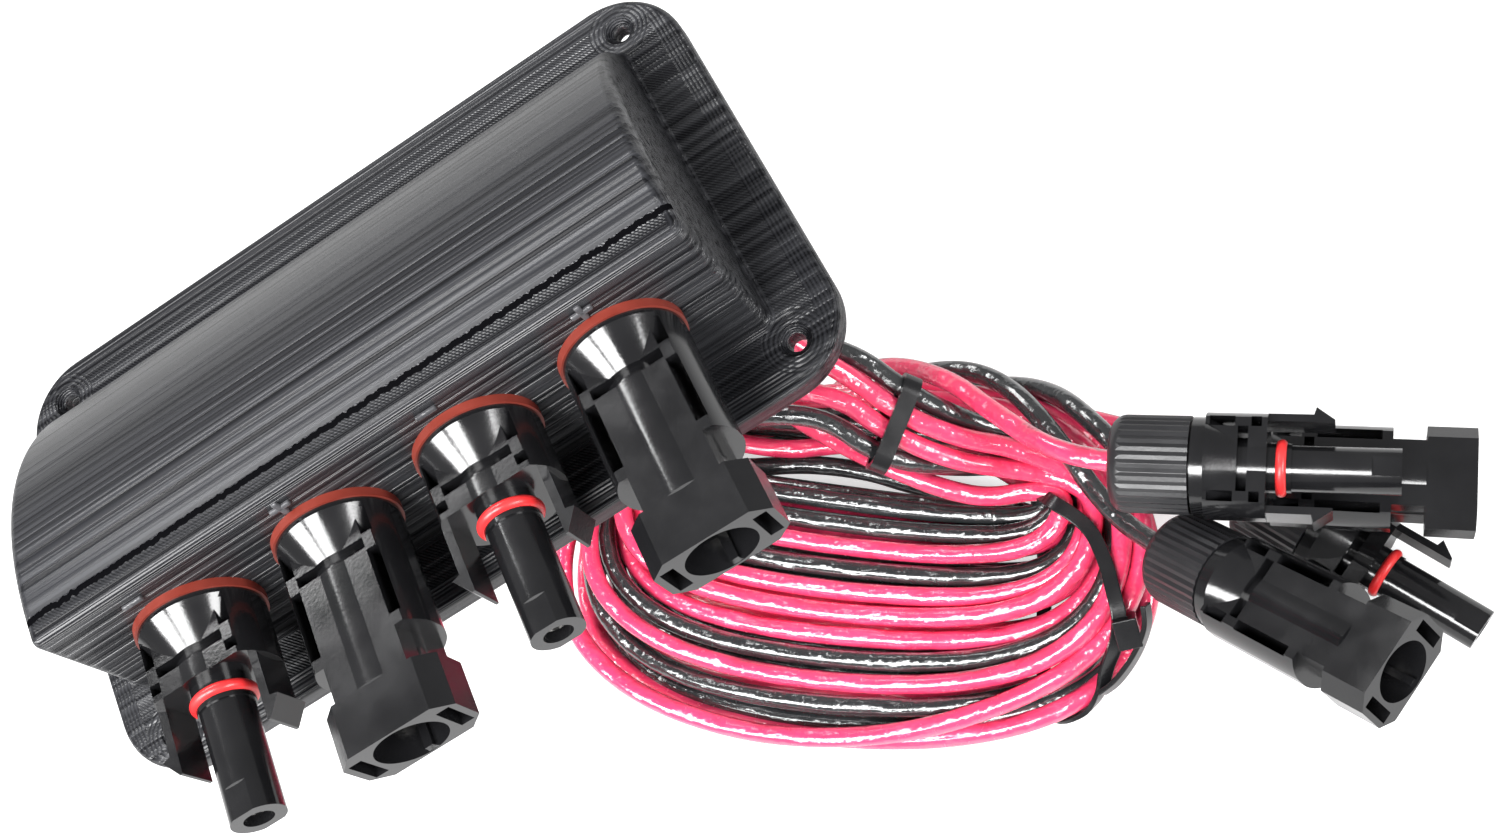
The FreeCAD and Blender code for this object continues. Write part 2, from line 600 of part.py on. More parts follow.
def coil_tie():
    """A strap that leans along the coil, with its head on the outer wall."""
    along = Vector(COIL_TIE_OUTER - COIL_TIE_INNER)
    reach = along.Length
    along.normalize()
    across = along.cross(COIL_TIE_OUTER - COIL_TIE_FOOT).normalize() * -1
    up = along.cross(across)
    slab = placed(box(-6, reach + 12, -TIE_WIDTH / 2, TIE_WIDTH / 2, -40, 12), COIL_TIE_INNER, along, across, up)
    loop = slab.common(coil(TIE_FIT + TIE_THICKNESS).cut(coil(TIE_FIT)))
    end = placed(tie_end(0, 0), COIL_TIE_OUTER, along, across, up)
    return loop.fuse(end).cut(coil(TIE_FIT))


def leads_tie(leads):
    across = Vector(LEADS_TIE_ACROSS).normalize()
    up = Vector(LEADS_TIE_UP)
    up = (up - across * up.dot(across)).normalize()
    loop = tie_loop(LEADS_TIE_SPAN + 2 * WIRE_R, 2 * WIRE_R + 1.6)
    loop = placed(loop, LEADS_TIE_CENTRE, across, up.cross(across), up)
    for lead in leads:
        loop = loop.cut(lead)
    return loop


os.makedirs("parts", exist_ok=True)
keep(housing(), "housing")

near_leads = []
coil_shape = coil()
for name, kind, x in zip(PANEL_NAMES, PANEL_KINDS, PANEL_X):
    body = connector_body(kind, SLEEVE_R, -SLEEVE_LENGTH, BASE_RING_R, GASKET_THICKNESS)
    keep(on_face(body, x), "panel_connector_" + name)
    keep(on_face(gasket(), x), "face_gasket_" + name)
    keep(on_face(panel_nut(), x), "panel_nut_" + name)
    keep(on_face(contact(kind, -PANEL_CONTACT_REAR), x), "panel_contact_" + name)
    if kind == "nose":
        keep(on_face(o_ring(), x), "panel_o_ring_" + name)
    lead = near_lead(name, x).cut(coil_shape)
    near_leads.append(lead)
    keep(lead, "near_lead_" + name)

keep(coil_shape, "wire_coil")

for name, kind in zip(LINE_NAMES, LINE_KINDS):
    body = connector_body(kind, LINE_SLEEVE_R, -LINE_SLEEVE_LENGTH, LINE_BASE_R, 0)
    keep(at_line(body, name), "line_connector_" + name)
    keep(at_line(cap_nut(), name), "cap_nut_" + name)
    keep(at_line(cable_seal(), name), "cable_seal_" + name)
    keep(at_line(contact(kind, -LINE_CONTACT_REAR), name), "line_contact_" + name)
    if kind == "nose":
        keep(at_line(o_ring(), name), "line_o_ring_" + name)
    keep(far_lead(name).cut(coil_shape), "far_lead_" + name)

keep(coil_tie(), "zip_tie_coil")
keep(leads_tie(near_leads), "zip_tie_leads")
print(len(NAMES), "pieces")
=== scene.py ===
import math

import bmesh
import bpy
from mathutils import Matrix, Vector

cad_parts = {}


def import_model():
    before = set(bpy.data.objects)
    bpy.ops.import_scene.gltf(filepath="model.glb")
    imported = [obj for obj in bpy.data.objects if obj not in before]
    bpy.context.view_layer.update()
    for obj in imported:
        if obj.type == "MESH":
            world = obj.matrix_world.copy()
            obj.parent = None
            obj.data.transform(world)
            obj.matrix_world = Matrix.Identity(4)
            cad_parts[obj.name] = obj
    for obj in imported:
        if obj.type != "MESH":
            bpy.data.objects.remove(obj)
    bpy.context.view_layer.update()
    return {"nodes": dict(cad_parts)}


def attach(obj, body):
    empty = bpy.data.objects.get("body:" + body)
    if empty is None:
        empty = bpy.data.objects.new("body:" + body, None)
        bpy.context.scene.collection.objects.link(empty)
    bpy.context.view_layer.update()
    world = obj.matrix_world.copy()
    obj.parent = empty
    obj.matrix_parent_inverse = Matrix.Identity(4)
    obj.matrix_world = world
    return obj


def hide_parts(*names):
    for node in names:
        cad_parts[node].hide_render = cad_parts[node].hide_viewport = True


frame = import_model()

MM = 0.001

# Camera, fitted to the photograph: focal length in pixels of a frame 1500 pixels wide
FOCAL_PX = 1662.7
FRAME_PX = 1500.0
SENSOR_MM = 36.0
CAMERA_PLACE = Vector((84.297, -150.160, 235.984))
CAMERA_RIGHT = Vector((0.8393001, -0.4316797, -0.3304965))
CAMERA_DOWN = Vector((-0.5260506, -0.7983200, -0.2931824))

# Sizes of the housing, in millimetres
FLANGE_HALF_X = 70.5
FLANGE_HALF_Y = 41.5
FLANGE_THICKNESS = 4.5
HOLE_X = 61.0
HOLE_Y = 34.5
HOOD_TOP_Z = 38.3
HOOD_TOP_END_Y = -22.0

# Lines that the printer left, in millimetres
LAYER = 0.32
LAYER_WAVER = 0.15
HATCH_PITCH = 0.66
RING_PITCH = 0.8
RING_REACH = 5.9
RING_WAVER = 0.6
RIM_PITCH = 0.7
RIM_WIDTH = 4.2
RIM_ROUNDING = 10.0
STRIP_PITCH = 0.62
STRIP_START_Y = -27.0
STRIP_END_Y = -24.9
# The groove's width and waver also set the band of painted shade along it
GROOVE_HALF_WIDTH = 0.55
GROOVE_WAVER = 1.4
GROOVE_DEPTH_IN_LINES = 2.0
LINE_DEPTH = 0.22

# Heights that part hood, flange and groove, and normals that part level, curved and upright faces
ABOVE_FLANGE = 2.0
BELOW_HOOD_TOP = 1.0
LEVEL_NORMAL_Z = 0.992
CURVED_NORMAL_Y = 0.03

# Shares of the printed plastic's light tone that come from its streaks and from its lines
STREAK_SHARE = 0.45
LINE_SHARE = 0.45

# Panel connectors on the leaning face
LEAN = math.radians(5.0)
FACE_CENTRE = Vector((0.0, -28.475, 21.934))
FACE_UP = Vector((0.0, math.sin(LEAN), math.cos(LEAN)))
FACE_OUT = Vector((0.0, -math.cos(LEAN), math.sin(LEAN)))
PANEL_X = {"minus_1": -39.75, "plus_1": -13.25, "minus_2": 13.25, "plus_2": 39.75}
MARK_X = {"minus_1": -42.4, "plus_1": -14.8, "minus_2": 11.8, "plus_2": 39.2}
MARK_UP = 12.6
MARK_SIZE = 3.6
MARK_BAR = 1.0
MARK_RISE = 0.5
PANEL_CONTACT_REAR = 13.0
LINE_CONTACT_REAR = 8.0
CAP_LENGTH = 15.0

# Wires: their lengths in metres, and the places that each one passes before and after the coil
WIRE_R = 2.1
STRAIGHT_BEHIND_CAP = 8.0
LEAD_DROP = [(1.0, 19.4), (13.0, 7.0), (15.0, -14.0)]
NEAR_ROUTES = {
    "minus_1": [(-34, 12, -38), (-12, 6, -58), (12, 1, -66), (34, -4.5, -69.5), (50.5, -13.5, -72),
                (55.8, -25.6, -79.5), (66, -31, -90.5), (76.5, -34.5, -98.5), (83, -38.5, -102.5)],
    "plus_1": [(-8, 14, -38), (13, 9, -58), (36, 1, -66), (55, -11.5, -70.5), (60, -23, -78),
               (67.8, -32.2, -85.5), (77.3, -38.2, -92), (85.2, -44.6, -94.5)],
    "minus_2": [(20, 15, -36), (34, 10, -54), (50, 3.5, -64), (62.3, -5.9, -70.3), (67.3, -17.3, -77.5),
                (74.5, -27, -84), (82.5, -33.8, -91.5), (87, -41.5, -98)],
    "plus_2": [(42, 12, -36), (49, 4, -55), (59.1, -9.5, -70), (63.8, -20.5, -77), (71.5, -30, -82.5),
               (80.5, -36.5, -87.5), (88, -46, -95)],
}
FAR_ROUTES = {
    "minus_1": [(58, -3.5, -106), (65.5, -3.5, -102.5), (74, -7.5, -98), (82, -15.5, -93),
                (86.5, -26, -89.4), (88.2, -40, -87.4), (88.8, -54, -88)],
    "plus_1": [(70, -12, -114.9), (80, -16, -114.9), (92, -25, -114.9), (102.5, -36, -114.5),
               (109.5, -48, -110.5)],
    "minus_2": [(68, -9.5, -107), (76, -11.5, -106), (86, -18.5, -101), (92.5, -27, -95),
                (95.5, -37, -89.8)],
    "plus_2": [(47, 4.5, -110.5), (55, 3.5, -104), (62.5, 0, -96), (70, -8, -88.5), (76.5, -19, -82),
               (80, -31, -76.5)],
}
# Loose connectors: each one's place and the way it points
LINE_PLACES = {
    "minus_1": (Vector((100.4, -84.2, -76.4)), Vector((0.385, -0.800, 0.460))),
    "plus_1": (Vector((121.6, -77.1, -107.4)), Vector((0.425, -0.905, 0.0))),
    "minus_2": (Vector((117.3, -66.4, -88.2)), Vector((0.814, -0.581, 0.0))),
    "plus_2": (Vector((106.3, -63.6, -69.2)), Vector((0.822, -0.570, 0.0))),
}

# Coil: nested ovals, slot 0 innermost. Each wire first fills the upper level and then the lower one.
COIL_CENTRE = (37.0, -35.6)
COIL_ANGLE = math.radians(-32.5)
COIL_HALF_LENGTH = 66.0
COIL_FRONT = 41.5
COIL_BACK = 42.5
COIL_SLOTS = 12
FRONT_PITCH = 4.4
BACK_PITCH = 1.4
END_PITCH = 2.0
INNER_TURN = math.radians(-7.0)
TURN_PIVOT = 46.0
UPPER_Z = -102.9
TOUCH = 4.26
LEFT_REACH = 5.0
OUTER_STRAIGHT = 12.0
INNER_STRAIGHT = 32.0
STRAIGHTNESS = 2.5
SIDE_POWER = 0.85
UPPER_SLOTS = {"minus_1": [0, 1, 7], "plus_1": [5, 2, 8], "minus_2": [3, 9], "plus_2": [4, 6, 10.6]}
LOWER_SLOTS = {"minus_1": [0, 4, 8], "plus_1": [1, 5, 9], "minus_2": [3, 7, 10.15], "plus_2": [2, 6, 10.8]}
# Degrees round the oval at which a wire joins the coil, leaves it, and shifts from one turn to the next
COIL_ENTRY = {"minus_1": 345, "plus_1": 350, "minus_2": 350, "plus_2": 352}
COIL_LEAVE = {"minus_1": 258, "plus_1": 272, "minus_2": 268, "plus_2": 248}
SHIFT_START = 190.0
SHIFT_END = 300.0
TURN_STEP = 20.0
# Three turns change slots by crossing the coil's middle: the turn's number and the places that it passes
CROSSINGS = {
    "plus_1": (0, [(24, 22, -97), (38.6, 8, -91), (44, -4.8, -90.5), (50.8, -17.2, -90), (57.2, -26.8, -90.5),
                   (63, -34, -93), (70, -40, -95.5), (79.5, -43.5, -95.5)]),
    "minus_2": (3, [(12, 10, -111), (26.3, 1, -110.5), (37.6, -5.1, -110.5), (48.9, -14.3, -110.5),
                    (55.4, -22.1, -110.5), (63, -30, -110.5), (74, -41, -110.5), (84, -55, -110)]),
    "plus_2": (0, [(20, 12, -103), (35, -2, -104.5), (46, -7.5, -104.5), (57, -13.5, -104.5),
                   (70, -22, -102)]),
}
CROSSING_START = 205.0
# The outermost turn climbs over its neighbours in front of the tie: wire, turn, slot that it lies above
CLIMB = ("plus_2", 2, 9)
CLIMB_UP = (-20.0, 25.0)
CLIMB_DOWN = (45.0, 100.0)

# Cable tie round the coil: places on the strap, each with the way its flat side faces
TIE_WIDTH = 3.0
TIE_THICKNESS = 1.1
TIE_STEPS = 6
COIL_STRAP = [
    ((80.3, -48.0, -92.6), (0, 0, 1)), ((83.7, -56.3, -92.5), (0, 0, 1)), ((83.3, -63.8, -92.5), (0, 0, 1)),
    ((81.3, -70.8, -92.6), (0, -0.2, 1)), ((79.7, -75.2, -93.6), (-0.1, -0.6, 0.8)),
    ((76.6, -78.6, -96.6), (-0.1, -0.8, 0.6)), ((72.2, -81.3, -100.4), (-0.1, -0.9, 0.4)),
    ((68.6, -84.0, -104.2), (0.1, -1, 0)), ((63.4, -85.2, -107.6), (0.1, -0.9, -0.4)),
    ((57.5, -81.4, -110.0), (0, -0.3, -1)), ((62.0, -70.0, -110.4), (0, 0, -1)),
    ((70.0, -57.0, -111.5), (0, 0, -1)), ((76.0, -46.5, -108.0), (0, 0.9, -0.4)),
    ((78.5, -43.6, -99.5), (0, 1, 0)),
]
CUT_END = [
    ((68.6, -84.4, -103.9), (0.5, -0.8, 0.3)), ((72.9, -84.2, -101.6), (0.6, -0.7, 0.4)),
    ((78.7, -82.4, -97.6), (0.7, -0.6, 0.4)), ((83.3, -79.6, -93.6), (0.8, -0.4, 0.4)),
    ((85.4, -76.2, -91.2), (0.8, -0.3, 0.4)),
]
TIE_HEAD = (4.8, 6.2, 4.4)
TIE_HEAD_PLACE = Vector((79.6, -78.2, -94.8))
TIE_HEAD_ALONG = Vector((-0.27, -0.80, -0.52))
TIE_HEAD_OUT = Vector((-0.15, -0.52, 0.84))
BEVEL = 0.25

# Stage: brightness of the floor and of the world, and lamps as place, target, size and watts, in metres
FLOOR_Z = -117.25
FLOOR_HALF = 3.0
FLOOR_SHADE = 0.55
FLOOR_GLOW = 0.66
WORLD_LEVEL = 0.30
MIDDLE = (0.04, -0.05, -0.08)
LAMPS = {
    "key_near": ((-0.18, -0.36, 0.76), MIDDLE, (0.30, 0.30), 9.0),
    "key_far": ((-0.50, -0.24, 0.58), MIDDLE, (0.30, 0.30), 9.0),
    "side": ((0.60, -0.50, 0.42), MIDDLE, (0.40, 0.25), 7.0),
    "sheen": ((-0.20, 0.62, 0.62), (0.0, -0.02, 0.03), (0.60, 0.14), 5.0),
}


# Node trees
class Nodes:
    """Short calls that add nodes to a material and link them."""

    def __init__(self, name):
        self.material = bpy.data.materials.new(name)
        self.material.use_nodes = True
        self.tree = self.material.node_tree
        self.shader = self.tree.nodes["Principled BSDF"]
        self.place = self.tree.nodes.new("ShaderNodeTexCoord").outputs["Object"]

    def add(self, kind, inputs=(), **settings):
        node = self.tree.nodes.new(kind)
        for key, value in settings.items():
            setattr(node, key, value)
        for key, value in dict(inputs).items():
            self.put(node.inputs[key], value)
        return node

    def put(self, socket, value):
        if isinstance(value, bpy.types.NodeSocket):
            self.tree.links.new(value, socket)
        else:
            socket.default_value = value

    def math(self, operation, a, b=0.0, c=0.0):
        node = self.add("ShaderNodeMath", {0: a, 1: b, 2: c}, operation=operation)
        return node.outputs[0]

    def axes(self, vector):
        return self.add("ShaderNodeSeparateXYZ", {0: vector}).outputs

    def waves(self, value, pitch):
        """Rises and falls once in each pitch."""
        return self.math("PINGPONG", self.math("FRACT", self.math("DIVIDE", value, pitch)), 0.5)

    def stretched(self, scale):
        return self.add("ShaderNodeMapping", {"Vector": self.place, "Scale": scale}).outputs[0]

    def noise(self, scale, detail=3.0, roughness=0.5, where=None):
        node = self.add("ShaderNodeTexNoise", {
            "Vector": where or self.place, "Scale": scale, "Detail": detail, "Roughness": roughness})
        return node.outputs["Fac"]

    def ramp(self, value, low, high, to_low=0.0, to_high=1.0):
        node = self.add("ShaderNodeMapRange", {
            "Value": value, "From Min": low, "From Max": high, "To Min": to_low, "To Max": to_high})
        return node.outputs[0]

    def mix(self, factor, a, b):
        """A share of two numbers. A Mix node has sockets for every kind of value, so they go by type."""
        node = self.add("ShaderNodeMix", data_type="FLOAT")
        for socket, value in zip([s for s in node.inputs if s.type == "VALUE"][:3], (factor, a, b)):
            self.put(socket, value)
        return [s for s in node.outputs if s.type == "VALUE"][0]

    def colour(self, factor, a, b):
        node = self.add("ShaderNodeMix", data_type="RGBA")
        self.put(node.inputs[0], factor)
        colours = [s for s in node.inputs if s.type == "RGBA"]
        self.put(colours[0], (*a, 1.0))
        self.put(colours[1], (*b, 1.0))
        return [s for s in node.outputs if s.type == "RGBA"][0]

    def bump(self, height, distance, strength=1.0, normal=None):
        inputs = {"Height": height, "Distance": distance, "Strength": strength}
        if normal is not None:
            inputs["Normal"] = normal
        return self.add("ShaderNodeBump", inputs).outputs[0]

    def set(self, **values):
        for key, value in values.items():
            self.put(self.shader.inputs[key.replace("_", " ")], value)
        return self.material


# Finishes
def layer_lines(n, z, curved):
    """Layer steps on the walls, worn unevenly: wide steps where the curved back is nearly level."""
    wobble = n.noise(60.0, 3.0, where=n.stretched((0.12, 1.0, 1.0)))
    height = n.math("ADD", z, n.math("MULTIPLY", wobble, LAYER_WAVER * MM))
    steps = n.math("FRACT", n.math("DIVIDE", height, LAYER * MM))
    return n.mix(curved, n.waves(height, LAYER * MM), steps)


def top_lines(n, x, y, on_hood):
    """Hatching on the level tops, with lines along the flange's rim and rings round the screw holes."""
    from_x = n.math("SUBTRACT", n.math("ABSOLUTE", x), HOLE_X * MM)
    from_y = n.math("SUBTRACT", n.math("ABSOLUTE", y), HOLE_Y * MM)
    from_hole = n.math("SQRT", n.math("ADD", n.math("POWER", n.math("ABSOLUTE", from_x), 2.0),
                                      n.math("POWER", n.math("ABSOLUTE", from_y), 2.0)))
    from_hole = n.math("ADD", from_hole, n.math("MULTIPLY", n.noise(350.0), RING_WAVER * MM))
    edge_x = n.math("SUBTRACT", FLANGE_HALF_X * MM, n.math("ABSOLUTE", x))
    edge_y = n.math("SUBTRACT", FLANGE_HALF_Y * MM, n.math("ABSOLUTE", y))
    from_edge = n.math("SMOOTH_MIN", edge_x, edge_y, RIM_ROUNDING * MM)
    near_edge = n.math("LESS_THAN", from_edge, RIM_WIDTH * MM)
    near_hole = n.math("LESS_THAN", from_hole, RING_REACH * MM)
    top = n.waves(n.math("ADD", x, y), HATCH_PITCH * MM)
    top = n.mix(near_edge, top, n.waves(from_edge, RIM_PITCH * MM))
    top = n.mix(near_hole, top, n.waves(from_hole, RING_PITCH * MM))
    lengthwise = n.waves(n.math("SUBTRACT", y, STRIP_START_Y * MM), STRIP_PITCH * MM)
    at_front = n.math("MULTIPLY", on_hood, n.math("LESS_THAN", y, STRIP_END_Y * MM))
    return n.mix(at_front, top, lengthwise)


def shaded_groove_mask(n, y, z):
    """The ragged sunken line between the hood's level strip and its curve: the mask for its relief and its
    painted shade.
    """
    ragged = n.noise(900.0, 2.0, where=n.stretched((1.0, 0.05, 0.05)))
    ragged = n.math("MULTIPLY", ragged, GROOVE_WAVER * MM)
    from_groove = n.math("ABSOLUTE", n.math("ADD", n.math("SUBTRACT", y, HOOD_TOP_END_Y * MM), ragged))
    return n.math("MULTIPLY", n.math("LESS_THAN", from_groove, GROOVE_HALF_WIDTH * MM),
                  n.math("GREATER_THAN", z, (HOOD_TOP_Z - BELOW_HOOD_TOP) * MM))


def printed_plastic():
    """Black printed plastic, glossy in streaks along its layers."""
    n = Nodes("printed_plastic")
    x, y, z = n.axes(n.place)
    normal = n.axes(n.add("ShaderNodeNewGeometry").outputs["Normal"])
    level = n.math("GREATER_THAN", n.math("ABSOLUTE", normal[2]), LEVEL_NORMAL_Z)
    curved = n.math("GREATER_THAN", normal[1], CURVED_NORMAL_Y)
    on_hood = n.math("GREATER_THAN", z, (FLANGE_THICKNESS + ABOVE_FLANGE) * MM)
    on_curve = n.math("MULTIPLY", on_hood, n.math("GREATER_THAN", y, HOOD_TOP_END_Y * MM))
    on_top = n.math("MULTIPLY", level, n.math("SUBTRACT", 1.0, on_curve))
    # Painted shade: the groove gets the darkest base colour and no specular gloss, in place of the shade
    # inside it
    shaded_groove = shaded_groove_mask(n, y, z)
    beside_shaded_groove = n.math("SUBTRACT", 1.0, shaded_groove)

    lines = n.mix(on_top, layer_lines(n, z, curved), top_lines(n, x, y, on_hood))
    lines = n.mix(shaded_groove, lines, -GROOVE_DEPTH_IN_LINES)
    streak = n.noise(1.0, 2.0, 0.6, where=n.stretched((3.0, 620.0, 900.0)))
    streak = n.ramp(streak, 0.36, 0.64)
    relief = n.bump(lines, LINE_DEPTH * MM)
    relief = n.bump(streak, LINE_DEPTH * MM, 0.8, relief)
    relief = n.bump(n.noise(2500.0, 2.0), 0.02 * MM, 0.5, relief)
    fade = n.math("MULTIPLY", n.ramp(lines, 0.0, 0.5), LINE_SHARE)
    tone = n.math("ADD", n.math("MULTIPLY", streak, STREAK_SHARE), fade)
    tone = n.math("MULTIPLY", tone, beside_shaded_groove)
    return n.set(Base_Color=n.colour(tone, (0.0025, 0.0025, 0.003), (0.034, 0.035, 0.040)),
                 Roughness=n.ramp(tone, 0.1, 0.9, 0.26, 0.40), Normal=relief,
                 Specular_IOR_Level=n.math("MULTIPLY", beside_shaded_groove, n.ramp(streak, 0.0, 1.0, 0.08, 0.62)))


def moulded_plastic(name, low, high, rough, grain_depth):
    n = Nodes(name)
    cloud = n.noise(120.0, 3.0)
    grain = n.noise(1800.0, 2.0)
    return n.set(Base_Color=n.colour(cloud, low, high), Normal=n.bump(grain, grain_depth * MM, 0.5),
                 Roughness=n.ramp(cloud, 0.3, 0.7, rough, rough + 0.10), Specular_IOR_Level=0.55)


def rubber(name, low, high, rough):
    n = Nodes(name)
    cloud = n.noise(300.0, 3.0)
    return n.set(Base_Color=n.colour(cloud, low, high), Normal=n.bump(n.noise(1500.0), 0.03 * MM, 0.5),
                 Roughness=n.ramp(cloud, 0.3, 0.7, rough, rough + 0.15))


def tinned_metal():
    n = Nodes("tinned_metal")
    marks = n.noise(600.0, 4.0, where=n.stretched((1.0, 6.0, 1.0)))
    return n.set(Base_Color=n.colour(marks, (0.55, 0.53, 0.50), (0.80, 0.79, 0.76)), Metallic=1.0,
                 Roughness=n.ramp(marks, 0.3, 0.7, 0.22, 0.42), Normal=n.bump(marks, 0.01 * MM, 0.4))


def wire_jacket(name, low, high):
    """Nylon-coated wire: glossy, and uneven enough to break up its highlights."""
    n = Nodes(name)
    cloud = n.noise(45.0, 2.0)
    ripple = n.noise(150.0, 3.0, 0.5)
    fine = n.noise(900.0, 2.0)
    relief = n.bump(n.noise(75.0, 1.0), 3.0 * MM, 0.9)
    relief = n.bump(ripple, 2.0 * MM, 0.8, relief)
    relief = n.bump(fine, 0.05 * MM, 0.6, relief)
    return n.set(Base_Color=n.colour(cloud, low, high), Roughness=n.ramp(fine, 0.3, 0.7, 0.16, 0.28),
                 Normal=relief, Coat_Weight=1.0, Coat_Roughness=0.10, Specular_IOR_Level=0.9)


def paint(node, material):
    obj = frame["nodes"][node]
    obj.data.materials.clear()
    obj.data.materials.append(material)


def finishes():
    """Paints the CAD nodes and returns the ties' material."""
    housing = printed_plastic()
    glossy = moulded_plastic("glossy_black", (0.004, 0.004, 0.0045), (0.011, 0.011, 0.012), 0.11, 0.02)
    satin = moulded_plastic("satin_black", (0.008, 0.008, 0.009), (0.020, 0.020, 0.022), 0.32, 0.05)
    tie = moulded_plastic("tie_nylon", (0.005, 0.005, 0.006), (0.012, 0.012, 0.013), 0.18, 0.03)
    gasket = rubber("gasket", (0.13, 0.016, 0.009), (0.22, 0.030, 0.018), 0.42)
    ring = rubber("o_ring", (0.62, 0.018, 0.022), (0.80, 0.040, 0.040), 0.26)
    seal = rubber("seal", (0.02, 0.02, 0.02), (0.05, 0.05, 0.05), 0.6)
    metal = tinned_metal()
    kinds = [("housing", housing), ("panel_connector", glossy), ("line_connector", glossy),
             ("panel_nut", satin), ("cap_nut", satin), ("face_gasket", gasket), ("panel_o_ring", ring),
             ("line_o_ring", ring), ("cable_seal", seal), ("panel_contact", metal), ("line_contact", metal),
             ("zip_tie", tie)]
    for node in frame["nodes"]:
        for start, material in kinds:
            if node.startswith(start):
                paint(node, material)
    return tie


# Wires
def slot_place(slot, level, degrees):
    """A turn's centre line: 0 is the right end, 90 the front, 270 the back. Slots lie at three heights."""
    nest = COIL_SLOTS - 1 - slot + 0.5 * level
    inner = nest / (COIL_SLOTS - 1)
    half = COIL_HALF_LENGTH - WIRE_R - nest * END_PITCH
    front = -(COIL_FRONT - WIRE_R) + nest * FRONT_PITCH
    back = COIL_BACK - WIRE_R - nest * BACK_PITCH
    straight = OUTER_STRAIGHT + (INNER_STRAIGHT - OUTER_STRAIGHT) * inner
    cosine = math.cos(math.radians(degrees))
    sine = math.sin(math.radians(degrees))
    middle = (back + front) / 2
    u = (half - straight) * cosine + straight * math.tanh(STRAIGHTNESS * cosine) / math.tanh(STRAIGHTNESS)
    v = -(back - front) / 2 * math.copysign(abs(sine) ** SIDE_POWER, sine)
    u -= LEFT_REACH * (1 - inner) * max(-cosine, 0.0) ** 2
    turn = INNER_TURN * inner
    u, v = (TURN_PIVOT + (u - TURN_PIVOT) * math.cos(turn) - v * math.sin(turn),
            middle + (u - TURN_PIVOT) * math.sin(turn) + v * math.cos(turn))
    share = cosine * cosine
    pitch = END_PITCH * share + (FRONT_PITCH if sine > 0 else BACK_PITCH) * (1 - share)
    step = math.sqrt(max(TOUCH ** 2 - pitch ** 2, 0.0))
    z = UPPER_Z + (slot % 3) * step - level * max(2 * WIRE_R, 3 * step)
    return Vector((COIL_CENTRE[0] + u * math.cos(COIL_ANGLE) - v * math.sin(COIL_ANGLE),
                   COIL_CENTRE[1] + u * math.sin(COIL_ANGLE) + v * math.cos(COIL_ANGLE), z))


def smooth(value, start, end):
    share = min(max((value - start) / (end - start), 0.0), 1.0)
    return share * share * (3 - 2 * share)


def coil_turns(name):
    """The turns from the entry to the place where the wire leaves, each shifting to the next at the back."""
    turns = [(slot, 0) for slot in UPPER_SLOTS[name]] + [(slot, 1) for slot in LOWER_SLOTS[name]]
    crossed, crossing = CROSSINGS.get(name, (None, []))
    points = []
    degrees = COIL_ENTRY[name] - 360.0
    last = 360.0 * (len(turns) - 1) + COIL_LEAVE[name]
    while degrees < last:
        turn = max(int(degrees // 360.0), 0)
        angle = degrees - 360.0 * turn
        if turn == crossed and angle > CROSSING_START:
            points += [Vector(p) for p in crossing]
            degrees = 360.0 * (turn + 1)
            continue
        here = slot_place(*turns[turn], angle)
        if turn < len(turns) - 1:
            here = here.lerp(slot_place(*turns[turn + 1], angle), smooth(angle, SHIFT_START, SHIFT_END))
        if name == CLIMB[0]:
            from_turn = degrees - 360.0 * CLIMB[1]
            share = smooth(from_turn, *CLIMB_UP) * (1 - smooth(from_turn, *CLIMB_DOWN))
            here = here.lerp(slot_place(CLIMB[2], 0, angle) + Vector((0, 0, 2 * WIRE_R)), share)
        points.append(here)
        degrees += TURN_STEP
    return points


def wire_route(name):
    start = FACE_CENTRE + Vector((PANEL_X[name], 0, 0)) - FACE_OUT * PANEL_CONTACT_REAR
    points = [start] + [Vector((PANEL_X[name], y, z)) for y, z in LEAD_DROP]
    points += [Vector(p) for p in NEAR_ROUTES[name]]
    points += coil_turns(name)
    origin, axis = LINE_PLACES[name]
    axis = axis.normalized()
    points += [Vector(p) for p in FAR_ROUTES[name]]
    return points + [origin - axis * (CAP_LENGTH + STRAIGHT_BEHIND_CAP), origin - axis * LINE_CONTACT_REAR]


def wire(name, material):
    """One whole wire, from its panel connector through the coil to its loose connector."""
    points = wire_route(name)
    data = bpy.data.curves.new("wire_" + name, "CURVE")
    data.dimensions = "3D"
    data.bevel_depth = WIRE_R * MM
    data.bevel_resolution = 5
    data.resolution_u = 8
    data.use_fill_caps = True
    spline = data.splines.new("NURBS")
    spline.points.add(len(points) - 1)
    for control, point in zip(spline.points, points):
        control.co = (*(point * MM), 1.0)
    spline.order_u = 3
    spline.use_endpoint_u = True
    data.materials.append(material)
    obj = bpy.data.objects.new("wire_" + name, data)
    bpy.context.collection.objects.link(obj)
    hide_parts("near_lead_" + name, "far_lead_" + name, "wire_coil")
    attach(obj, "box")
    return obj, points


def wires():
    red = wire_jacket("red_wire", (0.82, 0.032, 0.110), (0.93, 0.062, 0.165))
    black = wire_jacket("black_wire", (0.010, 0.011, 0.012), (0.030, 0.032, 0.034))
    for name in PANEL_X:
        positive = name.startswith("plus")
        obj, points = wire(name, red if positive else black)
        on_it = [kind + name for kind in ("line_connector_", "cap_nut_", "cable_seal_", "line_contact_")]
        if positive:
            on_it.append("line_o_ring_" + name)


# Small meshes on the box
def block(shape, size, place, axes):
    """Adds a block whose sides run along the three axes."""
    turn = Matrix(axes).transposed().to_4x4()
    matrix = Matrix.Translation(place) @ turn @ Matrix.Diagonal((*size, 1.0))
    bmesh.ops.create_cube(shape, size=1.0, matrix=matrix)


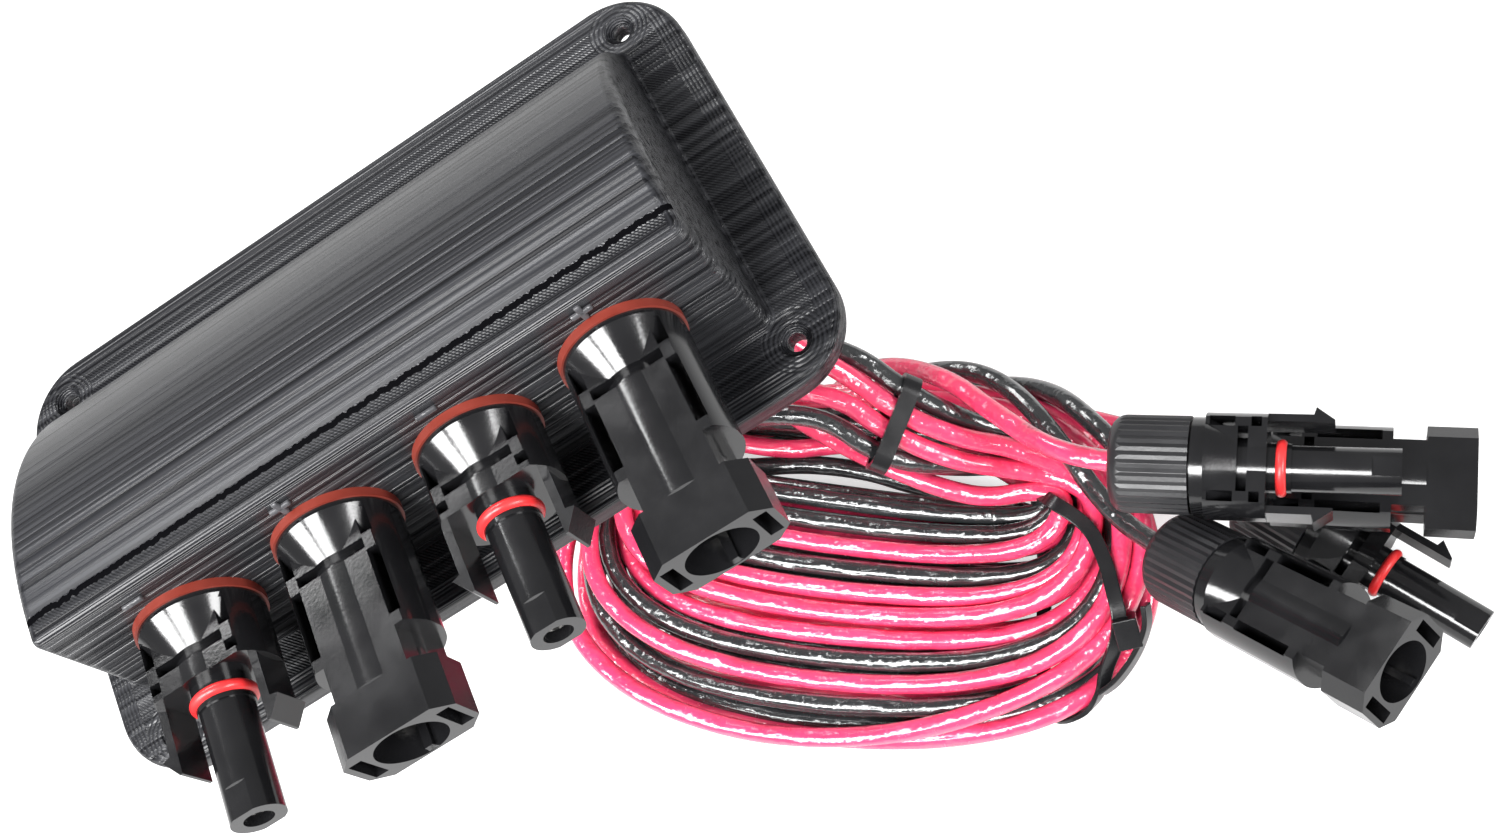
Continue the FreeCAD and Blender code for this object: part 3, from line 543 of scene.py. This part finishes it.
def on_box(name, shape, material, segments):
    """Turns a shape in millimetres into a bevelled piece that rides on the box."""
    bmesh.ops.scale(shape, vec=(MM, MM, MM), verts=shape.verts)
    mesh = bpy.data.meshes.new(name)
    shape.to_mesh(mesh)
    shape.free()
    mesh.materials.append(material)
    obj = bpy.data.objects.new(name, mesh)
    bpy.context.collection.objects.link(obj)
    bevel = obj.modifiers.new("bevel", "BEVEL")
    bevel.width = BEVEL * MM
    bevel.segments = segments
    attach(obj, "box")
    return obj, bevel


def marks(material):
    """Raised plus and minus marks above the panel connectors."""
    shape = bmesh.new()
    for name, x in MARK_X.items():
        centre = FACE_CENTRE + Vector((x, 0, 0)) + FACE_UP * MARK_UP
        bars = [(MARK_SIZE, MARK_BAR)]
        if name.startswith("plus"):
            bars.append((MARK_BAR, MARK_SIZE))
        for wide, tall in bars:
            block(shape, (wide, tall, 2 * MARK_RISE), centre, (Vector((1, 0, 0)), FACE_UP, FACE_OUT))
    on_box("polarity_marks", shape, material, 2)


def between(a, b, c, d, share):
    """A place on the smooth curve from b to c."""
    return 0.5 * (2 * b + (c - a) * share + (2 * a - 5 * b + 4 * c - d) * share ** 2
                  + (3 * b - a - 3 * c + d) * share ** 3)


def strap(shape, places, closed):
    """Adds a flat strap that runs through the places, each with its outward direction."""
    spots = [(Vector(place), Vector(out).normalized()) for place, out in places]

    def at(items, index):
        return items[index % len(items)] if closed else items[min(max(index, 0), len(items) - 1)]

    line = []
    for index in range(len(spots) if closed else len(spots) - 1):
        four = [at(spots, index + step) for step in (-1, 0, 1, 2)]
        for step in range(TIE_STEPS):
            line.append([between(*parts, step / TIE_STEPS) for parts in zip(*four)])
    if not closed:
        line.append(list(spots[-1]))
    rings = []
    for index, (place, out) in enumerate(line):
        heading = at(line, index + 1)[0] - at(line, index - 1)[0]
        side = heading.normalized().cross(out).normalized() * TIE_WIDTH / 2
        rise = side.cross(heading).normalized() * TIE_THICKNESS / 2
        corners = (side + rise, side - rise, -side - rise, -side + rise)
        rings.append([shape.verts.new(place + corner) for corner in corners])
    for index in range(len(rings) if closed else len(rings) - 1):
        ring = rings[index]
        following = at(rings, index + 1)
        for corner in range(4):
            beside = (corner + 1) % 4
            shape.faces.new((ring[corner], ring[beside], following[beside], following[corner]))
    if not closed:
        shape.faces.new(rings[0])
        shape.faces.new(rings[-1][::-1])


def coil_tie(material):
    """The strap round the coil, its cut end and its head."""
    shape = bmesh.new()
    strap(shape, COIL_STRAP, True)
    strap(shape, CUT_END, False)
    along = TIE_HEAD_ALONG.normalized()
    side = along.cross(TIE_HEAD_OUT).normalized()
    block(shape, TIE_HEAD, TIE_HEAD_PLACE, (side, along, side.cross(along)))
    bmesh.ops.recalc_face_normals(shape, faces=shape.faces)
    for face in shape.faces:
        face.smooth = True
    obj, bevel = on_box("coil_tie", shape, material, 3)
    bevel.harden_normals = True
    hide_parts("zip_tie_coil")


# Stage
def area_light(name, place, target, size, power):
    data = bpy.data.lights.new(name, "AREA")
    data.shape = "RECTANGLE"
    data.size, data.size_y = size
    data.energy = power
    obj = bpy.data.objects.new(name, data)
    obj.location = place
    obj.rotation_euler = (Vector(target) - Vector(place)).to_track_quat("-Z", "Y").to_euler()
    bpy.context.collection.objects.link(obj)


def floor():
    """A pale floor that takes shadows and adds a glow for the camera alone."""
    half = FLOOR_HALF
    corners = [(-half, -half), (half, -half), (half, half), (-half, half)]
    data = bpy.data.meshes.new("floor")
    data.from_pydata([(x, y, FLOOR_Z * MM) for x, y in corners], [], [(0, 1, 2, 3)])
    obj = bpy.data.objects.new("floor", data)
    bpy.context.collection.objects.link(obj)
    n = Nodes("floor")
    n.set(Base_Color=(FLOOR_SHADE, FLOOR_SHADE, FLOOR_SHADE, 1.0), Roughness=0.9)
    to_camera = n.add("ShaderNodeLightPath").outputs["Is Camera Ray"]
    glow = n.add("ShaderNodeEmission", {"Strength": n.math("MULTIPLY", to_camera, FLOOR_GLOW)})
    both = n.add("ShaderNodeAddShader", {0: n.shader.outputs[0], 1: glow.outputs[0]})
    n.put(n.tree.nodes["Material Output"].inputs["Surface"], both.outputs[0])
    data.materials.append(n.material)


def world():
    """White for the camera, and a soft fill for everything else."""
    studio = bpy.data.worlds.new("studio")
    studio.use_nodes = True
    tree = studio.node_tree
    background = tree.nodes["Background"]
    background.inputs["Color"].default_value = (1.0, 1.0, 1.0, 1.0)
    rays = tree.nodes.new("ShaderNodeLightPath")
    level = tree.nodes.new("ShaderNodeMix")
    level.data_type = "FLOAT"
    level.inputs[2].default_value = WORLD_LEVEL
    level.inputs[3].default_value = 1.0
    tree.links.new(rays.outputs["Is Camera Ray"], level.inputs[0])
    tree.links.new(level.outputs[0], background.inputs["Strength"])
    bpy.context.scene.world = studio


def camera():
    data = bpy.data.cameras.new("camera")
    data.sensor_width = SENSOR_MM
    data.lens = FOCAL_PX / FRAME_PX * SENSOR_MM
    data.clip_start = 0.01
    data.clip_end = 20.0
    obj = bpy.data.objects.new("camera", data)
    right = CAMERA_RIGHT.normalized()
    up = -CAMERA_DOWN.normalized()
    back = right.cross(up)
    turn = Matrix((right, up, back)).transposed().to_4x4()
    obj.matrix_world = Matrix.Translation(CAMERA_PLACE * MM) @ turn
    bpy.context.collection.objects.link(obj)
    bpy.context.scene.camera = obj
    bpy.context.scene.view_settings.view_transform = "Standard"


camera()
floor()
world()
for lamp, settings in LAMPS.items():
    area_light(lamp, *settings)

tie_nylon = finishes()
coil_tie(tie_nylon)
# Painted highlight: the raised marks are the housing's black plastic, painted lighter in speckles up to 0.14
# where they catch the light
marks(moulded_plastic("mark_plastic_painted_highlight", (0.01, 0.01, 0.011), (0.14, 0.14, 0.15), 0.26, 0.20))
wires()
